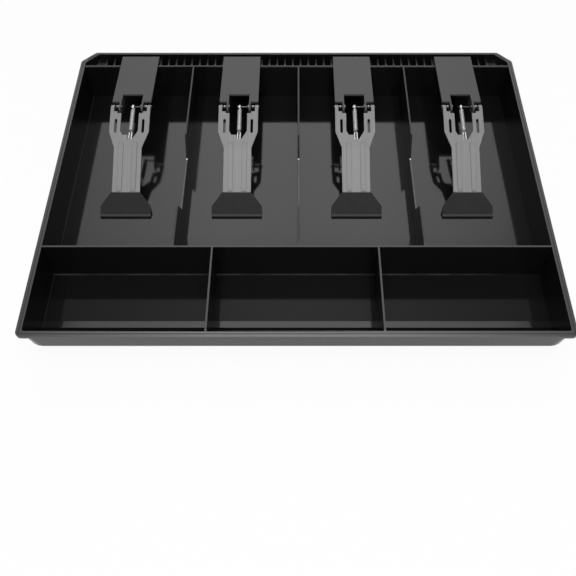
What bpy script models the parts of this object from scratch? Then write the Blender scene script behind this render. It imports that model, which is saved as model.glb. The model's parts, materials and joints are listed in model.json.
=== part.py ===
"""Cash register tray: one moulded tray with three coin and four note compartments,
and four spring clips that plug into the comb along its back wall.

Metres, +Z up. The origin is the centre of the tray's underside and the front faces -Y.
"""

import math

import bmesh
import bpy
from mathutils import Matrix, Vector

# Tray, outside
TRAY_WIDTH = 0.330
TRAY_DEPTH = 0.245
TRAY_HEIGHT = 0.035
RIM_OVERHANG = 0.002
RIM_THICKNESS = 0.0022
FRONT_CORNER_RADIUS = 0.0035
BODY_CORNER_RADIUS = 0.004
BASE_CORNER_RADIUS = 0.019
BACK_CORNER_CUT = 0.010
BACK_CORNER_RADIUS = 0.0025
BACK_OVERHANG = 0.0004
SKIRT = 0.0018
SKIRT_BOTTOM = 0.0195

# Tray, walls and floor; a rim width is the overhang and the wall under it together
SIDE_RIM = 0.0035
FRONT_RIM = 0.0038
BACK_RIM = 0.0019
CORNER_RIM = 0.0032
FLOOR_THICKNESS = 0.0026
CROSS_WALL_FROM_FRONT = 0.0632
CROSS_WALL = 0.0012
COIN_DIVIDER = 0.00115
COIN_DIVIDER_SPACING = 0.1055
COIN_DIVIDER_SHIFT = -0.0008
COIN_SCOOP_RADIUS = 0.0195
COIN_FLOOR_START = 0.0281
COIN_TOP_CORNER_RADIUS = 0.0006
COIN_LOW_CORNER_RADIUS = 0.015
NOTE_DIVIDER = 0.0011
NOTE_DIVIDER_SPACING = 0.080
NOTE_DIVIDER_SHIFT = 0.0014
NOTCH_FROM_CROSS_WALL = 0.0317
NOTCH_LENGTH = 0.0631
NOTCH_DEPTH = 0.0156
NOTCH_SLOPE = 0.0087

# Comb behind the rail, where the clips plug in
RAIL = 0.00185
CHANNEL = 0.0107
COMB_PITCH = 0.006
COMB_WEB = 0.0012
COMB_DROP = 0.005

# Clearances
SEAT_GAP = 0.0003
PIVOT_CLEARANCE = 0.00006
FOOT_GAP = 0.0003
BACK_GAP = 0.0009

# Bracket, bent from one sheet
BRACKET_WIDTH = 0.0281
BRACKET_SHEET = 0.0016
BRACKET_BEND = 0.0008
BRACKET_LENGTH = 0.05315
BRACKET_RISE = math.radians(3.6)
BRACKET_BELOW_RIM = 0.0003
WINDOW_WIDTH = 0.0148
EAR_SHEET = 0.00125
WINDOW_LENGTH = 0.00785
EAR_AHEAD = 0.0042
EAR_BELOW = 0.0070
EAR_FRONT_DROP = 0.0018
EAR_CORNER = 0.0022
PRONG_WIDTH = 0.0040
PRONG_OFFSET_SLOTS = 2
PRONG_ABOVE_FLOOR = 0.0014

# Pivot of the arm, and the post that the spring pulls on
PIVOT_AHEAD = 0.0037
PIVOT_DROP = 0.00183
PIVOT_RADIUS = 0.0008
RIVET_HEAD_RADIUS = 0.0015
RIVET_END_RADIUS = 0.0012
COLLAR_RADIUS = 0.0013
COLLAR_END_RADIUS = 0.00105
RIVET_HEAD = 0.0005
RIVET_END = 0.0004
RIVET_EDGE = 0.0002
POST_BACK = 0.0032
POST_DROP = 0.00345
POST_RADIUS = 0.0007
POST_HEAD_RADIUS = 0.00105
POST_HEAD = 0.0004
POST_END = 0.0009

# Arm, stamped from one sheet; distances run down the arm from the pivot
FORK_SLOPE = math.radians(20.4)
BLADE_SLOPE = math.radians(26.3)
TIP_SLOPE = math.radians(39)
ARM_SHEET = 0.0012
ARM_ABOVE_PIVOT = 0.00312
ARM_BEND = 0.0008
FORK_WIDTH = 0.0284
FORK_EAR = 0.0023
FORK_EAR_RADIUS = 0.00145
FORK_EAR_LENGTH = 0.0094
FORK_START = 0.0021
FORK_STEP = 0.0048
FORK_INNER_STEP = 0.0062
FORK_STEP_WIDTH = 0.0184
THROAT_WIDTH = 0.0128
THROAT_CHAMFER_START = 0.0199
THROAT_END = 0.0230
THROAT_CHAMFER = 0.0017
HOOK_NOTCH_END = 0.0264
HOOK_NOTCH_WIDTH = 0.0033
HOOK_NOTCH_OFFSET = 0.0008
HOOK_OFFSET = 0.0004
SLOT_START = 0.0107
SLOT_LENGTH = 0.0108
SLOT_WIDTH = 0.0019
SLOT_SPACING = 0.0196
TAPER_START = 0.0204
TAPER_END = 0.0328
ARM_WIDTH = 0.0196
ARM_LENGTH = 0.0648
RIB_START = 0.0289
RIB_LENGTH = 0.0362
RIB_WIDTH = 0.0034
RIB_SPACING = 0.0098
RIB_HEIGHT = 0.0005
RIB_END_SLOPE = 0.0008

# Tongue under the arm that the spring's lower ring hangs on
TONGUE_WIDTH = 0.0008
TONGUE_SHEET = 0.0010
TONGUE_REACH = 0.0013
TONGUE_LENGTH = 0.0042
RING_BELOW_ARM = 0.0022

# Foot pad, moulded over the bent tip of the arm
FOOT_WIDTH = 0.0353
FOOT_FLARE = 0.0081
FOOT_CORNER = 0.0012
FOOT_SKIN = 0.0007
FOOT_SOLE = 0.0015
TOE_HEIGHT = 0.0014
TOE_LENGTH = 0.0019
TOE_EDGE = 0.0004
TIP_WIDTH = 0.0160
TIP_LENGTH = 0.0105
FOOT_START = 0.0007

# Extension spring
WIRE = 0.0005
COIL_DIAMETER = 0.00275
COIL_START = 0.0031
COIL_LENGTH = 0.0172
COIL_TURNS = 16
POINTS_PER_TURN = 8
TOP_RING_RADIUS = 0.0011
LOWER_RING_RADIUS = 0.00105
LOOP_LEAD = 0.0019
RING_SLACK = 0.00008

ARC_STEP = math.radians(15)
HOLE_SIDES = 16
SPILL = 0.002

# Places that several pieces share
RIM_TOP = TRAY_HEIGHT
FLOOR_TOP = FLOOR_THICKNESS
FRONT_EDGE = -TRAY_DEPTH / 2
SIDE_FACE = TRAY_WIDTH / 2 - SIDE_RIM
FRONT_FACE = FRONT_EDGE + FRONT_RIM
BACK_FACE = TRAY_DEPTH / 2 - BACK_RIM
CROSS_FRONT = FRONT_EDGE + CROSS_WALL_FROM_FRONT
CROSS_BACK = CROSS_FRONT + CROSS_WALL
CHANNEL_FRONT = BACK_FACE - CHANNEL
RAIL_FRONT = CHANNEL_FRONT - RAIL
COMB_TOP = RIM_TOP - COMB_DROP

# A clip's pieces are drawn from its pivot, y to the back and z up
PLATE_FRONT = PIVOT_AHEAD
PLATE_BACK = PLATE_FRONT + BRACKET_LENGTH
WINDOW_BACK = PLATE_FRONT + WINDOW_LENGTH


def plate_top(y):
    """Height of the bracket's top surface over the pivot; it climbs towards the front."""
    return PIVOT_DROP + (PLATE_FRONT - y) * math.tan(BRACKET_RISE)


PIVOT_Y = BACK_FACE - BACK_GAP - PLATE_BACK
PIVOT_Z = RIM_TOP - BRACKET_BELOW_RIM - plate_top(PLATE_BACK)
CLIP_CHANNEL = PLATE_BACK + BACK_GAP - CHANNEL
CLIP_COMB = plate_top(PLATE_BACK) + BRACKET_BELOW_RIM - COMB_DROP
CLIP_FLOOR = FLOOR_TOP - PIVOT_Z
RAIL_TOP = PIVOT_Z + plate_top(CLIP_CHANNEL) - BRACKET_SHEET / math.cos(BRACKET_RISE) - SEAT_GAP


def clear_scene():
    for item in list(bpy.data.objects):
        bpy.data.objects.remove(item, do_unlink=True)


def axes(origin, first, second, third):
    """Matrix that carries local x, y and z onto three world directions."""
    turn = Matrix((first, second, third)).transposed().to_4x4()
    return Matrix.Translation(origin) @ turn


def side_on():
    """Outlines drawn in Y and Z, extruded along X."""
    return axes((0, 0, 0), (0, 1, 0), (0, 0, 1), (1, 0, 0))


def plan():
    """Outlines drawn in X and Y, extruded along Z."""
    return Matrix.Identity(4)


def sloped(start, slope):
    """Outlines drawn in X and down a slope that falls to the front, extruded off its surface."""
    return axes((0, *start), (1, 0, 0), (0, *down_slope(slope)), (0, *off_slope(slope)))


def sloped_side(start, slope):
    """Outlines drawn down the slope and off its surface, extruded along X."""
    return axes((0, *start), (0, *down_slope(slope)), (0, *off_slope(slope)), (1, 0, 0))


def arc(centre, radius, start, end):
    """Points on an arc from one angle to another, both ends included."""
    steps = max(1, math.ceil(abs(end - start) / ARC_STEP - 1e-6))
    angles = [start + (end - start) * i / steps for i in range(steps + 1)]
    return [(centre[0] + radius * math.cos(a), centre[1] + radius * math.sin(a)) for a in angles]


def rounded(corners):
    """Closed outline from (a, b, radius) corners, each radius limited by its shorter side."""
    points = []
    count = len(corners)
    for i in range(count):
        before = Vector(corners[i - 1][:2])
        here = Vector(corners[i][:2])
        after = Vector(corners[(i + 1) % count][:2])
        back = before - here
        ahead = after - here
        half_turn = back.angle(ahead) / 2
        radius = corners[i][2]
        if radius <= 0 or half_turn > math.pi / 2 - 1e-4:
            points.append(tuple(here))
            continue
        reach = min(radius / math.tan(half_turn), 0.49 * back.length, 0.49 * ahead.length)
        radius = reach * math.tan(half_turn)
        start = here + back.normalized() * reach
        end = here + ahead.normalized() * reach
        middle = (back.normalized() + ahead.normalized()).normalized()
        centre = here + middle * radius / math.sin(half_turn)
        first = math.atan2(start.y - centre.y, start.x - centre.x)
        last = math.atan2(end.y - centre.y, end.x - centre.x)
        sweep = (last - first + math.pi) % (2 * math.pi) - math.pi
        points += arc(centre, radius, first, first + sweep)
    return points


def rectangle(low_a, low_b, high_a, high_b):
    return [(low_a, low_b), (high_a, low_b), (high_a, high_b), (low_a, high_b)]


def circle(a, b, radius):
    turn = 2 * math.pi / HOLE_SIDES
    return [(a + radius * math.cos(turn * i), b + radius * math.sin(turn * i)) for i in range(HOLE_SIDES)]


def sheet_outline(path, thickness, bend):
    """Closed outline of a bent sheet: the path is its outer side, and the sheet lies to the path's right."""
    points = [Vector(p) for p in path]
    directions = [(b - a).normalized() for a, b in zip(points, points[1:])]
    sides = [Vector((d.y, -d.x)) for d in directions]
    outer = [(points[0].x, points[0].y, 0)]
    inner = [(*(points[0] + sides[0] * thickness), 0)]
    for i in range(1, len(points) - 1):
        middle = (sides[i - 1] + sides[i]).normalized()
        corner = points[i] + middle * thickness / middle.dot(sides[i])
        right_turn = directions[i - 1].cross(directions[i]) < 0
        outer.append((*points[i], bend + thickness if right_turn else bend))
        inner.append((*corner, bend if right_turn else bend + thickness))
    outer.append((*points[-1], 0))
    inner.append((*(points[-1] + sides[-1] * thickness), 0))
    return rounded(outer + inner[::-1])


def add_prism(mesh, outline, low, high, place):
    """Adds an outline, extruded between two local heights, to a bmesh."""
    base = [mesh.verts.new(place @ Vector((a, b, low))) for a, b in outline]
    face = mesh.faces.new(base)
    extruded = bmesh.ops.extrude_face_region(mesh, geom=[face])["geom"]
    moved = [item for item in extruded if isinstance(item, bmesh.types.BMVert)]
    offset = place.to_3x3() @ Vector((0, 0, high - low))
    bmesh.ops.translate(mesh, vec=offset, verts=moved)
    bmesh.ops.recalc_face_normals(mesh, faces=mesh.faces)


def make(name, shapes):
    """One object from a list of (outline, low, high, place) prisms that don't touch each other."""
    mesh = bmesh.new()
    for outline, low, high, place in shapes:
        add_prism(mesh, outline, low, high, place)
    data = bpy.data.meshes.new(name)
    mesh.to_mesh(data)
    mesh.free()
    item = bpy.data.objects.new(name, data)
    bpy.context.scene.collection.objects.link(item)
    return item


def make_between(name, low_outline, low, high_outline, high):
    """One object from two outlines with the same number of points, at two heights."""
    mesh = bmesh.new()
    bottom = [mesh.verts.new((x, y, low)) for x, y in low_outline]
    top = [mesh.verts.new((x, y, high)) for x, y in high_outline]
    mesh.faces.new(bottom)
    mesh.faces.new(top)
    for i in range(len(bottom)):
        mesh.faces.new((bottom[i - 1], bottom[i], top[i], top[i - 1]))
    bmesh.ops.recalc_face_normals(mesh, faces=mesh.faces)
    data = bpy.data.meshes.new(name)
    mesh.to_mesh(data)
    mesh.free()
    item = bpy.data.objects.new(name, data)
    bpy.context.scene.collection.objects.link(item)
    return item


def combine(body, tool, operation):
    """Applies a Boolean of the tool to the body, and removes the tool."""
    modifier = body.modifiers.new(operation, "BOOLEAN")
    modifier.operation = operation
    modifier.solver = "EXACT"
    modifier.object = tool
    graph = bpy.context.evaluated_depsgraph_get()
    result = bpy.data.meshes.new_from_object(body.evaluated_get(graph))
    body.modifiers.clear()
    body.data = result
    bpy.data.objects.remove(tool, do_unlink=True)


def join(body, shapes):
    for shape in shapes:
        combine(body, make("tool", [shape]), "UNION")


def cut(body, shapes):
    combine(body, make("tool", shapes), "DIFFERENCE")


def keep(body, shape):
    combine(body, make("tool", [shape]), "INTERSECT")


def turned(name, profile, y=0.0, z=0.0, sign=1):
    """A piece turned about a line along X, from (x, radius) steps that start and end on the line."""
    sides = HOLE_SIDES
    mesh = bmesh.new()
    rings = []
    for x, radius in profile:
        if radius == 0:
            rings.append([mesh.verts.new((sign * x, y, z))])
            continue
        turn = 2 * math.pi / sides
        ring = [
            (sign * x, y + radius * math.cos(turn * (i + 0.5)), z + radius * math.sin(turn * (i + 0.5)))
            for i in range(sides)
        ]
        rings.append([mesh.verts.new(p) for p in ring])
    for first, second in zip(rings, rings[1:]):
        for i in range(sides):
            j = (i + 1) % sides
            corners = [first[i % len(first)], first[j % len(first)], second[j % len(second)], second[i % len(second)]]
            unique = list(dict.fromkeys(corners))
            mesh.faces.new(unique)
    bmesh.ops.recalc_face_normals(mesh, faces=mesh.faces)
    data = bpy.data.meshes.new(name)
    mesh.to_mesh(data)
    mesh.free()
    item = bpy.data.objects.new(name, data)
    bpy.context.scene.collection.objects.link(item)
    return item


def material(name, color, roughness, metallic):
    made = bpy.data.materials.new(name)
    made.use_nodes = True
    shader = made.node_tree.nodes["Principled BSDF"]
    shader.inputs["Base Color"].default_value = (*color, 1)
    shader.inputs["Roughness"].default_value = roughness
    shader.inputs["Metallic"].default_value = metallic
    return made


def finish(item, surface):
    """Gives a piece its material and soft shading."""
    item.data.materials.clear()
    item.data.materials.append(surface)
    if item.type == "MESH":
        item.data.shade_smooth()
        item.data.set_sharp_from_angle(angle=math.radians(30))
    return item


def tray_plan(side, front, back, cut_inset, front_radius, back_radius):
    """Plan of the tray, moved in from its outermost edges by the four insets."""
    x = TRAY_WIDTH / 2 - side
    low = FRONT_EDGE + front
    high = TRAY_DEPTH / 2 - back
    corner_sum = (TRAY_WIDTH + TRAY_DEPTH) / 2 - BACK_CORNER_CUT - cut_inset * math.sqrt(2)
    cut = x + high - corner_sum
    return rounded(
        [
            (-x, low, front_radius),
            (x, low, front_radius),
            (x, high - cut, back_radius),
            (x - cut, high, back_radius),
            (cut - x, high, back_radius),
            (-x, high - cut, back_radius),
        ]
    )


def coin_wall():
    """The bottom curve of the coin pockets' front wall: its centre, and the angle where the flat slope starts."""
    centre = Vector((FRONT_EDGE + COIN_FLOOR_START, FLOOR_TOP + COIN_SCOOP_RADIUS))
    brink = Vector((FRONT_FACE, RIM_TOP)) - centre
    return centre, math.atan2(brink.y, brink.x) + math.acos(COIN_SCOOP_RADIUS / brink.length)


def front_slope(offset, height):
    """Y at a height on the front wall's flat slope, that far outside its inner face."""
    centre, angle = coin_wall()
    radius = COIN_SCOOP_RADIUS + offset
    start = centre + Vector((math.cos(angle), math.sin(angle))) * radius
    return start.x + (height - start.y) * math.tan(math.pi - angle)


def body_profile():
    """Side view of the body under the rim: a skirt along the front, and the front wall that slopes in behind it."""
    front = FRONT_EDGE + RIM_OVERHANG
    back = TRAY_DEPTH / 2
    centre, angle = coin_wall()
    curve = arc(centre, COIN_SCOOP_RADIUS + FLOOR_THICKNESS, angle, math.pi * 1.5)
    middle = RIM_TOP - RIM_THICKNESS / 2
    behind = front_slope(FLOOR_THICKNESS, SKIRT_BOTTOM)
    return [(front, SKIRT_BOTTOM), (behind, SKIRT_BOTTOM)] + curve + [(back, 0), (back, middle), (front, middle)]


def skirt_groove():
    """Side view of the groove that is open from below between the skirt and the sloping wall."""
    near = FRONT_EDGE + RIM_OVERHANG + SKIRT
    low = SKIRT_BOTTOM - SPILL
    edge = front_slope(FLOOR_THICKNESS, SKIRT_BOTTOM) - SEAT_GAP
    reach = edge - near
    return [(near, low), (edge, low), (edge, SKIRT_BOTTOM), (near, SKIRT_BOTTOM + reach * 1.7)]


def coin_profile():
    """Side view of a coin pocket, whose floor sweeps up to the sloping front wall."""
    top = RIM_TOP + SPILL
    centre, angle = coin_wall()
    sweep = arc(centre, COIN_SCOOP_RADIUS, angle, math.pi * 1.5)
    return [(FRONT_FACE, RIM_TOP)] + sweep + [(CROSS_FRONT, FLOOR_TOP), (CROSS_FRONT, top), (FRONT_FACE, top)]


def coin_pockets():
    half = COIN_DIVIDER / 2
    places = [COIN_DIVIDER_SHIFT - COIN_DIVIDER_SPACING / 2, COIN_DIVIDER_SHIFT + COIN_DIVIDER_SPACING / 2]
    lows = [-SIDE_FACE] + [x + half for x in places]
    highs = [x - half for x in places] + [SIDE_FACE]
    return [(coin_profile(), low, high, side_on()) for low, high in zip(lows, highs)]


def note_divider_places(shift=NOTE_DIVIDER_SHIFT):
    return [shift + NOTE_DIVIDER_SPACING * i for i in (-1, 0, 1)]


def note_pockets():
    half = NOTE_DIVIDER / 2
    places = note_divider_places()
    lows = [-SIDE_FACE] + [x + half for x in places]
    highs = [x - half for x in places] + [SIDE_FACE]
    top = RIM_TOP + SPILL
    return [
        (rectangle(low, CROSS_BACK, high, RAIL_FRONT), FLOOR_TOP, top, plan()) for low, high in zip(lows, highs)
    ]


def notches():
    """Low stretches in the note dividers, with sloping ends, for reaching the notes."""
    start = CROSS_BACK + NOTCH_FROM_CROSS_WALL
    end = start + NOTCH_LENGTH
    bottom = RIM_TOP - NOTCH_DEPTH
    over = NOTCH_SLOPE * SPILL / NOTCH_DEPTH
    outline = [
        (start - over, RIM_TOP + SPILL),
        (start + NOTCH_SLOPE, bottom),
        (end - NOTCH_SLOPE, bottom),
        (end + over, RIM_TOP + SPILL),
    ]
    half = NOTE_DIVIDER / 2 + SPILL
    return [(outline, x - half, x + half, side_on()) for x in note_divider_places()]


def channel_profile():
    """Side view of what is open over the rail and over the comb's webs."""
    top = RIM_TOP + SPILL
    return [
        (RAIL_FRONT, RAIL_TOP),
        (CHANNEL_FRONT, RAIL_TOP),
        (CHANNEL_FRONT, COMB_TOP),
        (BACK_FACE, COMB_TOP),
        (BACK_FACE, top),
        (RAIL_FRONT, top),
    ]


def inner_plan():
    return tray_plan(SIDE_RIM, FRONT_RIM, BACK_RIM, CORNER_RIM, 0, 0)


def comb_slots():
    """The slots that the clips' prongs go into, as many as fit between the cut corners."""
    half = (COMB_PITCH - COMB_WEB) / 2
    widest = max(a for a, b in inner_plan() if b > BACK_FACE - 1e-6)
    reach = int((widest - half - COMB_WEB) / COMB_PITCH)
    spans = [(COMB_PITCH * i - half, COMB_PITCH * i + half) for i in range(-reach, reach + 1)]
    return [
        (rectangle(low, CHANNEL_FRONT, high, BACK_FACE), FLOOR_TOP, COMB_TOP + SPILL, plan())
        for low, high in spans
    ]


def coin_corner_plan(radius):
    """The walls round the coin compartments, with the front corners rounded."""
    back = CROSS_FRONT + SPILL
    return rounded(
        [
            (-SIDE_FACE, FRONT_FACE, radius),
            (SIDE_FACE, FRONT_FACE, radius),
            (SIDE_FACE, back, 0),
            (-SIDE_FACE, back, 0),
        ]
    )


def coin_tool():
    """The coin pockets, whose outer front corners are sharp at the rim and open out lower down."""
    pockets = make("coin_tool", coin_pockets())
    sharp = coin_corner_plan(COIN_TOP_CORNER_RADIUS)
    wide = coin_corner_plan(COIN_LOW_CORNER_RADIUS)
    combine(pockets, make_between("corners", wide, 0, sharp, RIM_TOP + SPILL), "INTERSECT")
    return pockets


def build_tray(surface):
    inset = RIM_OVERHANG
    base = tray_plan(inset, inset, BACK_OVERHANG, inset, BASE_CORNER_RADIUS, BACK_CORNER_RADIUS)
    brim = tray_plan(inset, inset, BACK_OVERHANG, inset, BODY_CORNER_RADIUS, BACK_CORNER_RADIUS)
    tray = make_between("tray", base, 0, brim, RIM_TOP)
    keep(tray, (body_profile(), -TRAY_WIDTH, TRAY_WIDTH, side_on()))
    rim = tray_plan(0, 0, 0, 0, FRONT_CORNER_RADIUS, BACK_CORNER_RADIUS)
    join(tray, [(rim, RIM_TOP - RIM_THICKNESS, RIM_TOP, plan())])
    reach = SIDE_FACE - BASE_CORNER_RADIUS
    cut(tray, [(skirt_groove(), -reach, reach, side_on())])
    combine(tray, coin_tool(), "DIFFERENCE")
    cut(tray, note_pockets())
    cut(tray, notches())
    channel = make("channel", [(channel_profile(), -TRAY_WIDTH, TRAY_WIDTH, side_on())])
    keep(channel, (inner_plan(), 0, RIM_TOP + 2 * SPILL, plan()))
    combine(tray, channel, "DIFFERENCE")
    cut(tray, comb_slots())
    return finish(tray, surface)


def bracket_profile():
    """Side view of the bracket: the plate, the bend at the back wall, and a prong with its foot."""
    low = CLIP_FLOOR + PRONG_ABOVE_FLOOR
    return sheet_outline(
        [
            (PLATE_FRONT, plate_top(PLATE_FRONT)),
            (PLATE_BACK, plate_top(PLATE_BACK)),
            (PLATE_BACK, low),
            (CLIP_CHANNEL + SEAT_GAP, low),
        ],
        BRACKET_SHEET,
        BRACKET_BEND,
    )


def bracket_ear():
    """Side view of an ear, bent down from the window's edge, that carries the pivot and the post."""
    under = BRACKET_SHEET / 16
    return rounded(
        [
            (WINDOW_BACK, plate_top(WINDOW_BACK) - under, 0),
            (-EAR_AHEAD, plate_top(-EAR_AHEAD) - under, EAR_CORNER),
            (-EAR_AHEAD, -EAR_FRONT_DROP, EAR_CORNER),
            (POST_BACK / 2, -EAR_BELOW, EAR_CORNER),
            (WINDOW_BACK, -EAR_BELOW, EAR_CORNER),
        ]
    )


def ear_spans():
    inner = WINDOW_WIDTH / 2
    outer = inner + EAR_SHEET
    return [(-outer, -inner), (inner, outer)]


def build_bracket(name, surface):
    half = BRACKET_WIDTH / 2
    bracket = make(name, [(bracket_profile(), -half, half, side_on())])
    prong = PRONG_OFFSET_SLOTS * COMB_PITCH - PRONG_WIDTH / 2
    between = rectangle(-prong, CLIP_CHANNEL, prong, PLATE_BACK + SPILL)
    inner = WINDOW_WIDTH / 2
    window = rectangle(-inner, PLATE_FRONT - SPILL, inner, WINDOW_BACK)
    cut(
        bracket,
        [
            (between, CLIP_FLOOR, CLIP_COMB + SEAT_GAP, plan()),
            (window, -EAR_BELOW, TRAY_HEIGHT, plan()),
        ],
    )
    join(bracket, [(bracket_ear(), low, high, side_on()) for low, high in ear_spans()])
    hole = circle(0, 0, PIVOT_RADIUS + PIVOT_CLEARANCE)
    cut(bracket, [(hole, -half, half, side_on())])
    post_hole = circle(POST_BACK, -POST_DROP, POST_RADIUS + PIVOT_CLEARANCE)
    cut(bracket, [(post_hole, 0, half, side_on())])
    return finish(bracket, surface)


def down_slope(slope):
    """Y and Z of a unit step down a slope that falls to the front."""
    return Vector((-math.cos(slope), -math.sin(slope)))


def off_slope(slope):
    """Y and Z of a unit step square off that slope."""
    return Vector((-math.sin(slope), math.cos(slope)))


def arm_point(along, height=0.0):
    """Y and Z of a point that far down the arm from the pivot and off its top surface."""
    if along <= TAPER_END:
        start, slope, before = off_slope(FORK_SLOPE) * ARM_ABOVE_PIVOT, FORK_SLOPE, 0
    elif along <= ARM_LENGTH:
        start, slope, before = arm_point(TAPER_END), BLADE_SLOPE, TAPER_END
    else:
        start, slope, before = arm_point(ARM_LENGTH), TIP_SLOPE, ARM_LENGTH
    return start + down_slope(slope) * (along - before) + off_slope(slope) * height


def arm_profile():
    """Side view of the arm: the fork, the steeper blade, and the tip bent into the foot pad."""
    places = (ARM_LENGTH + TIP_LENGTH, ARM_LENGTH, TAPER_END, FORK_START)
    return sheet_outline([arm_point(along) for along in places], ARM_SHEET, ARM_BEND)


def fork_distance(along):
    """How far down the fork's own slope a point on the arm lies."""
    return (arm_point(along) - arm_point(0)).dot(down_slope(FORK_SLOPE))


def arm_plan():
    """The arm's outline in X and down the fork: fork, throat with its hook notch, taper, blade and tip."""
    fork = FORK_WIDTH / 2
    ear = fork - FORK_EAR
    step = FORK_STEP_WIDTH / 2
    throat = THROAT_WIDTH / 2
    blade = ARM_WIDTH / 2
    tip = TIP_WIDTH / 2
    shoulder = fork_distance(ARM_LENGTH + FOOT_START - SEAT_GAP)
    end = ARM_LENGTH + TIP_LENGTH
    notch_low = HOOK_NOTCH_OFFSET - HOOK_NOTCH_WIDTH / 2
    notch_high = HOOK_NOTCH_OFFSET + HOOK_NOTCH_WIDTH / 2
    return [
        (-fork, 0),
        (-ear, 0),
        (-ear, FORK_STEP),
        (-step, FORK_STEP),
        (-step, FORK_INNER_STEP),
        (-throat, FORK_INNER_STEP),
        (-throat, THROAT_CHAMFER_START),
        (-throat + THROAT_CHAMFER, THROAT_END),
        (notch_low, THROAT_END),
        (notch_low, HOOK_NOTCH_END),
        (notch_high, HOOK_NOTCH_END),
        (throat, THROAT_CHAMFER_START),
        (throat, FORK_INNER_STEP),
        (step, FORK_INNER_STEP),
        (step, FORK_STEP),
        (ear, FORK_STEP),
        (ear, 0),
        (fork, 0),
        (fork, TAPER_START),
        (blade, TAPER_END),
        (blade, shoulder),
        (tip, shoulder),
        (tip, end),
        (-tip, end),
        (-tip, shoulder),
        (-blade, shoulder),
        (-blade, TAPER_END),
        (-fork, TAPER_START),
    ]


def arm_slots(place):
    radius = SLOT_WIDTH / 2
    low = SLOT_START + radius
    high = SLOT_START + SLOT_LENGTH - radius
    shapes = []
    for x in (-SLOT_SPACING / 2, SLOT_SPACING / 2):
        ends = arc((x, high), radius, 0, math.pi) + arc((x, low), radius, math.pi, 2 * math.pi)
        shapes.append((ends, -SPILL, SPILL, place))
    return shapes


def fork_ear():
    """Side view of a fork ear: a lug round the pivot that runs into the folded edge of the fork."""
    radius = FORK_EAR_RADIUS
    top = ARM_ABOVE_PIVOT - ARM_SHEET / 12
    under = ARM_ABOVE_PIVOT - ARM_SHEET / 2
    back_angle = math.atan2(top, FORK_START) + math.acos(radius / math.hypot(FORK_START, top))
    front_angle = math.atan2(under, FORK_EAR_LENGTH) - math.acos(radius / math.hypot(FORK_EAR_LENGTH, under))
    lug = arc((0, 0), radius, back_angle, front_angle + 2 * math.pi)
    return lug + [(FORK_EAR_LENGTH, under), (FORK_EAR_LENGTH, top), (FORK_START, top)]


def arm_rib():
    """Side view of a pressed rib that stands a little off the arm, over its bend."""
    end = RIB_START + RIB_LENGTH
    inside = -ARM_SHEET / 2
    slope = RIB_END_SLOPE
    low = [arm_point(along, inside) for along in (end, TAPER_END, RIB_START)]
    high = [arm_point(along, RIB_HEIGHT) for along in (RIB_START + slope, TAPER_END, end - slope)]
    return low + [arm_point(RIB_START, 0)] + high + [arm_point(end, 0)]


def tongue_path():
    """The tongue leaves the notch's edge, then turns down through the spring's ring."""
    top = -ARM_SHEET / 12
    turn = HOOK_NOTCH_END - TONGUE_REACH
    return [(turn, top - TONGUE_LENGTH), (turn, top), (HOOK_NOTCH_END + TONGUE_SHEET, top)]


def build_arm(name, surface):
    half = FORK_WIDTH / 2
    on_top = sloped(arm_point(0), FORK_SLOPE)
    top_side = sloped_side(arm_point(0), FORK_SLOPE)
    pivot_side = sloped_side((0, 0), FORK_SLOPE)
    arm = make(name, [(arm_profile(), -half - SPILL, half + SPILL, side_on())])
    keep(arm, (arm_plan(), -TRAY_HEIGHT, SPILL, on_top))
    cut(arm, arm_slots(on_top))
    ears = [(-half, FORK_EAR - half), (half - FORK_EAR, half)]
    join(arm, [(fork_ear(), low, high, pivot_side) for low, high in ears])
    for middle in (-RIB_SPACING / 2, RIB_SPACING / 2):
        join(arm, [(arm_rib(), middle - RIB_WIDTH / 2, middle + RIB_WIDTH / 2, side_on())])
    tongue = sheet_outline(tongue_path(), TONGUE_SHEET, ARM_BEND / 4)
    join(arm, [(tongue, HOOK_OFFSET - TONGUE_WIDTH / 2, HOOK_OFFSET + TONGUE_WIDTH / 2, top_side)])
    hole = circle(0, 0, PIVOT_RADIUS + PIVOT_CLEARANCE)
    cut(arm, [(hole, -half - SPILL, half + SPILL, pivot_side)])
    return finish(arm, surface)


def foot_y(height, off):
    """Y at a height on a line that runs with the tip's slope, that far off its top surface."""
    start = arm_point(ARM_LENGTH) + off_slope(TIP_SLOPE) * off
    return start.x - (start.y - height) / math.tan(TIP_SLOPE)


def foot_sides():
    """How far the pad's top and its sole lie off the tip's top surface."""
    return SEAT_GAP + FOOT_SKIN, -ARM_SHEET - SEAT_GAP - FOOT_SOLE


def foot_profile():
    """Side view of the pad: it runs down with the arm's tip to a flat toe just over the floor."""
    top, sole = foot_sides()
    high = arm_point(ARM_LENGTH).y + TIP_LENGTH
    low = CLIP_FLOOR + FOOT_GAP
    toe = low + TOE_HEIGHT
    front = foot_y(toe, top) - TOE_LENGTH
    return [
        (foot_y(high, top), high),
        (foot_y(toe, top), toe),
        (front + TOE_EDGE, toe),
        (front, toe - TOE_EDGE),
        (front, low),
        (foot_y(low, sole), low),
        (foot_y(high, sole), high),
    ]


def foot_plan():
    top = foot_sides()[0]
    start = ARM_WIDTH / 2
    wide = FOOT_WIDTH / 2
    back = foot_y((arm_point(ARM_LENGTH, top)).y, top)
    flare = back - FOOT_FLARE
    front = back - TRAY_HEIGHT
    return rounded(
        [
            (-start, back + TIP_LENGTH, 0),
            (-start, back, 0),
            (-wide, flare, FOOT_CORNER),
            (-wide, front, 0),
            (wide, front, 0),
            (wide, flare, FOOT_CORNER),
            (start, back, 0),
            (start, back + TIP_LENGTH, 0),
        ]
    )


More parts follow.
